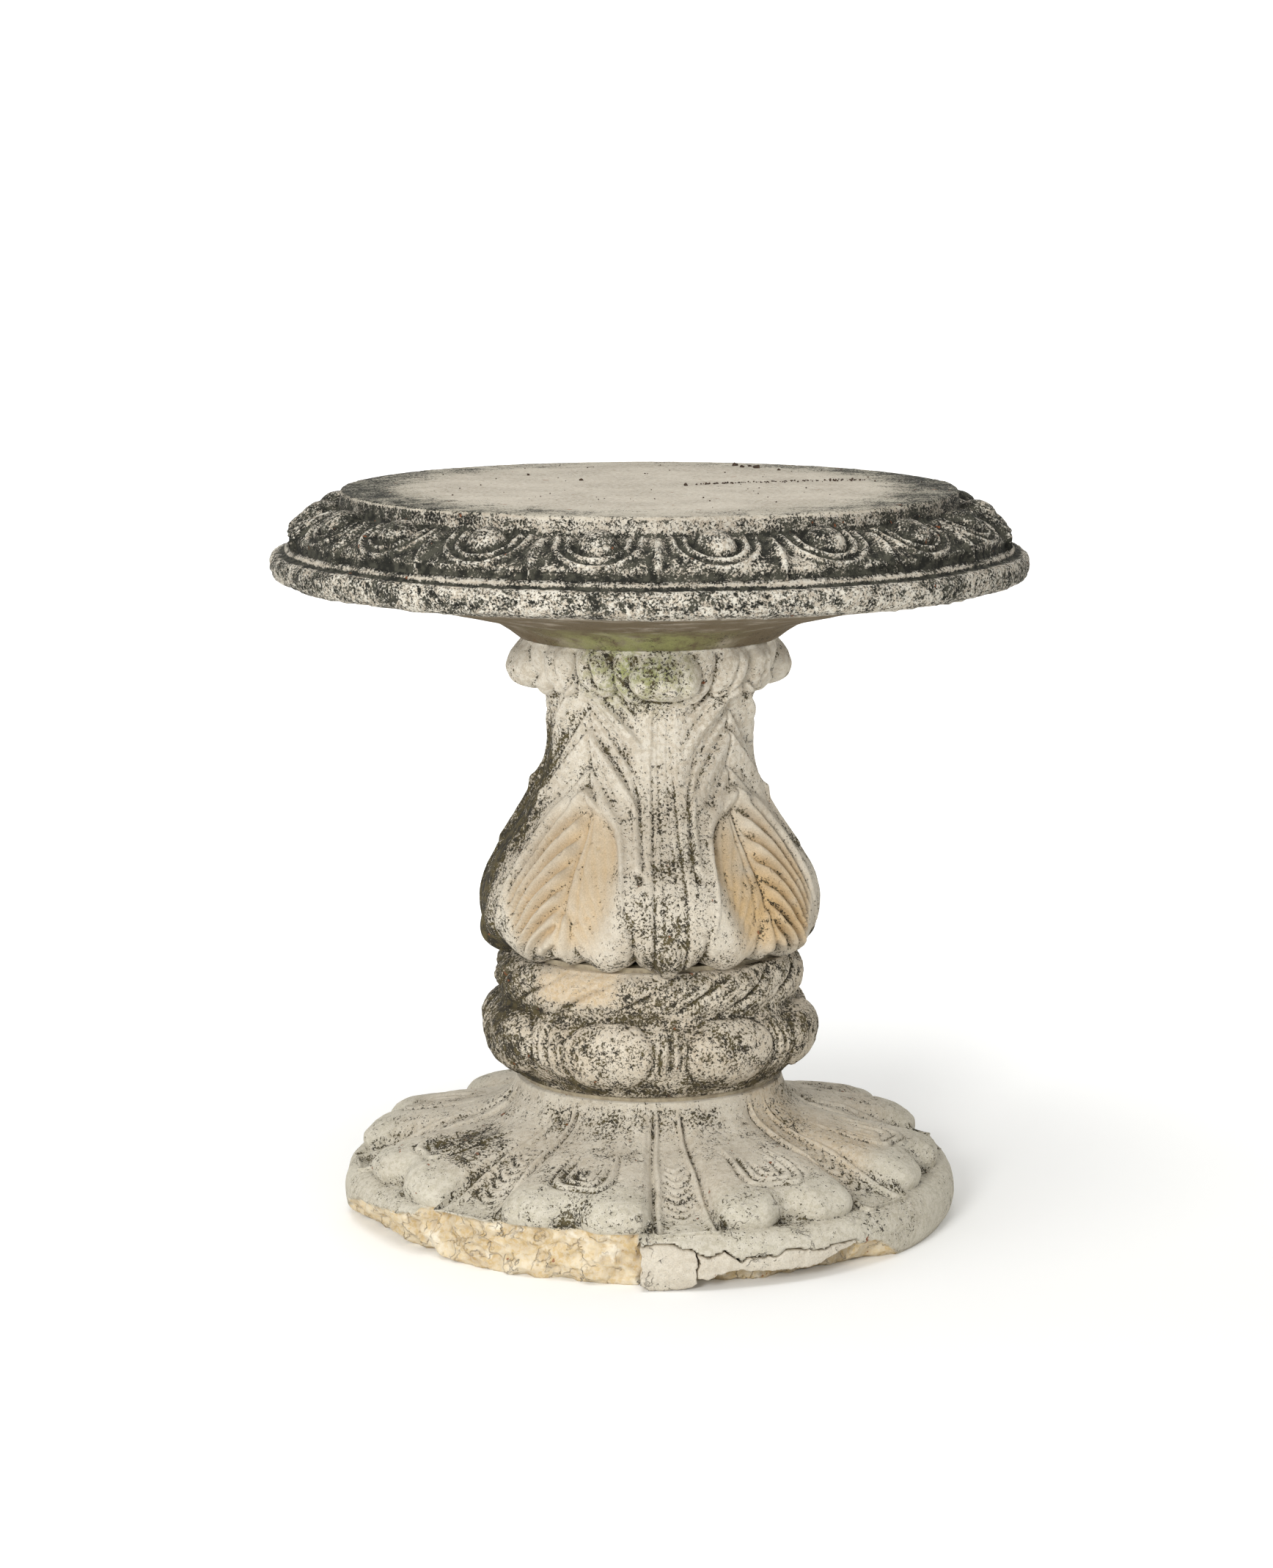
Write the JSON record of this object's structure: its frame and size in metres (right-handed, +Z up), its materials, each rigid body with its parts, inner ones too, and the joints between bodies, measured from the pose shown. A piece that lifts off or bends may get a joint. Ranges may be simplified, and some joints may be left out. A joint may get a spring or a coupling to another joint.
{
  "type": "bird bath",
  "caption": "Carved cast-stone garden bird bath: petalled round foot, ringed collar, acanthus shaft and a broad flat-topped basin slab that lifts off a locating dowel.",
  "frame": {"origin": "on the floor, on the centre line of the pedestal", "axes": "+Z up, -Y the front, where the plain channels of the foot and the shaft line up"},
  "size_m": [0.6204, 0.6203, 0.6],
  "materials": {
    "cast_stone": "matte",
    "weathered_stone": "matte",
    "mortar": "matte",
    "grout": "matte",
    "rusty_steel": "matte",
    "galvanised_steel": "satin"
  },
  "bodies": {
    "pedestal": {"foot": "cast_stone", "plinth_shard_front": "cast_stone", "plinth_shard_side": "cast_stone", "foot_hoop": "rusty_steel", "foot_bed": "mortar", "collar": "cast_stone", "collar_bed": "mortar", "shaft": "cast_stone", "core_rod": "rusty_steel", "core_grout": "grout", "dowel_socket": "galvanised_steel"},
    "dowel": {"locating_dowel": "galvanised_steel"},
    "basin": {"basin": "weathered_stone", "basin_socket": "galvanised_steel", "basin_hoop": "rusty_steel", "basin_bars": "rusty_steel"}
  },
  "joints": [
    {"name": "basin_turn", "type": "hinge", "parent": "pedestal", "child": "dowel", "pos_m": [0, 0, 0.44], "axis": [0, 0, 1], "continuous": true},
    {"name": "basin_lift", "type": "slide", "parent": "dowel", "child": "basin", "axis": [0, 0, 1], "range_m": [0, 0.08]}
  ]
}
